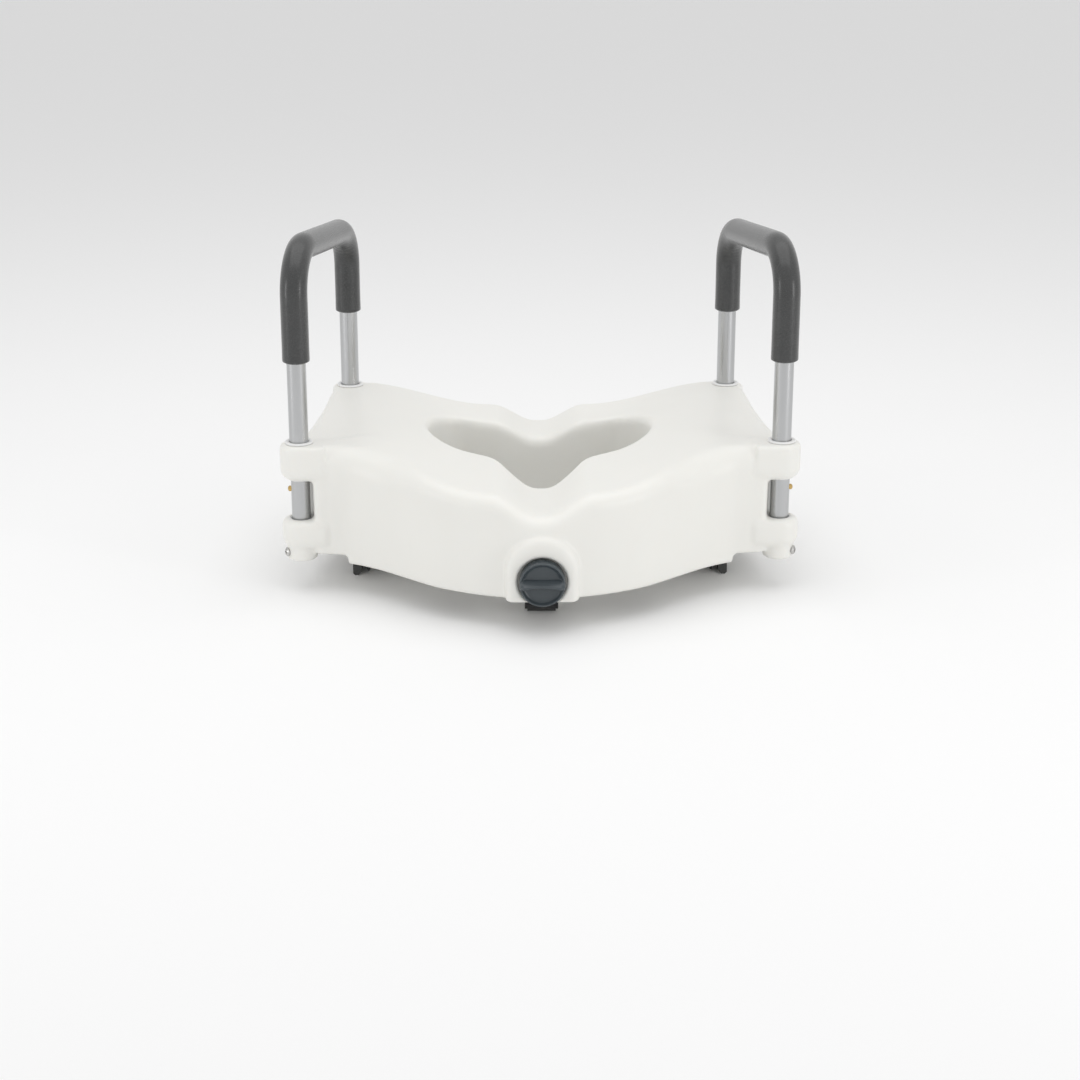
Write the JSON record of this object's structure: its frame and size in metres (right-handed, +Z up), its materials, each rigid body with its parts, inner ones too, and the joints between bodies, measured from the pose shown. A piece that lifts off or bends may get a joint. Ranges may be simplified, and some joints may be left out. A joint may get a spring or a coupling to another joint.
{
  "type": "raised toilet seat",
  "caption": "Raised toilet seat with a contoured hollow deck, padded arms that lift out of corner sockets, and a front screw clamp with a hand knob.",
  "frame": {"origin": "centre of the bounding box at the lowest point, under the middle of the seat", "axes": "+X across the seat, +Y from the knob at the front to the back, +Z up"},
  "size_m": [0.52, 0.396, 0.3558],
  "materials": {
    "seat_plastic": "satin moulded",
    "collar_plastic": "satin moulded",
    "tube_aluminium": "satin anodised",
    "grip_foam": "closed-cell foam",
    "knob_plastic": "satin moulded",
    "bracket_plastic": "matt moulded",
    "soft_rubber": "matt",
    "plug_plastic": "matt moulded",
    "screw_steel": "zinc plated",
    "spring_steel": "oiled",
    "brass": "plain"
  },
  "bodies": {
    "seat": {"seat_shell": "seat_plastic", "bush_front_left": "collar_plastic", "liner_front_left": "collar_plastic", "bush_front_right": "collar_plastic", "liner_front_right": "collar_plastic", "bush_rear_left": "collar_plastic", "liner_rear_left": "collar_plastic", "bush_rear_right": "collar_plastic", "liner_rear_right": "collar_plastic", "socket_screws": "screw_steel", "rim_pad_front_right": "soft_rubber", "rim_pad_front_left": "soft_rubber", "rim_pad_rear_right": "soft_rubber", "rim_pad_rear_left": "soft_rubber", "guide_bracket_left": "bracket_plastic", "guide_fin_left": "soft_rubber", "guide_bracket_right": "bracket_plastic", "guide_fin_right": "soft_rubber", "bracket_screws": "screw_steel", "thrust_washer": "screw_steel"},
    "lock": {"lock_knob": "knob_plastic", "clamp_spindle": "screw_steel", "retaining_clip": "spring_steel"},
    "jaw": {"clamp_jaw": "bracket_plastic", "jaw_nut": "brass", "jaw_pad": "soft_rubber"},
    "arm_left": {"arm_tube_left": "tube_aluminium", "arm_grip_left": "grip_foam", "leg_plug_front_left": "plug_plastic", "leg_plug_rear_left": "plug_plastic", "leaf_spring_front_left": "spring_steel", "leaf_spring_rear_left": "spring_steel"},
    "button_front_left": {"snap_button_front_left": "brass"},
    "button_rear_left": {"snap_button_rear_left": "brass"},
    "arm_right": {"arm_tube_right": "tube_aluminium", "arm_grip_right": "grip_foam", "leg_plug_front_right": "plug_plastic", "leg_plug_rear_right": "plug_plastic", "leaf_spring_front_right": "spring_steel", "leaf_spring_rear_right": "spring_steel"},
    "button_front_right": {"snap_button_front_right": "brass"},
    "button_rear_right": {"snap_button_rear_right": "brass"}
  },
  "joints": [
    {"name": "knob_turn", "type": "hinge", "parent": "seat", "child": "lock", "pos_m": [0, -0.1865, 0.0525], "axis": [0, 1, 0], "range_deg": [0, 1900]},
    {"name": "jaw_slide", "type": "slide", "parent": "seat", "child": "jaw", "axis": [0, 1, 0], "range_m": [0, 0.016]},
    {"name": "arm_left_lift", "type": "slide", "parent": "seat", "child": "arm_left", "axis": [0, 0, 1], "range_m": [0, 0.11], "deforming": ["leaf_spring_front_left", "leaf_spring_rear_left", "snap_button_front_left", "snap_button_rear_left"]},
    {"name": "arm_right_lift", "type": "slide", "parent": "seat", "child": "arm_right", "axis": [0, 0, 1], "range_m": [0, 0.11], "deforming": ["leaf_spring_front_right", "leaf_spring_rear_right", "snap_button_front_right", "snap_button_rear_right"]},
    {"name": "button_front_left_press", "type": "slide", "parent": "arm_left", "child": "button_front_left", "axis": [0.9879, -0.1552, 0], "range_m": [0, 0.0031], "stiffness_N_per_m": 400},
    {"name": "button_rear_left_press", "type": "slide", "parent": "arm_left", "child": "button_rear_left", "axis": [0.9879, -0.1552, 0], "range_m": [0, 0.0031], "stiffness_N_per_m": 400},
    {"name": "button_front_right_press", "type": "slide", "parent": "arm_right", "child": "button_front_right", "axis": [-0.9879, -0.1552, 0], "range_m": [0, 0.0031], "stiffness_N_per_m": 400},
    {"name": "button_rear_right_press", "type": "slide", "parent": "arm_right", "child": "button_rear_right", "axis": [-0.9879, -0.1552, 0], "range_m": [0, 0.0031], "stiffness_N_per_m": 400}
  ],
  "couplings": [
    {"joint": "jaw_slide", "follows": "knob_turn", "m_per_rad": 0.00047746}
  ]
}
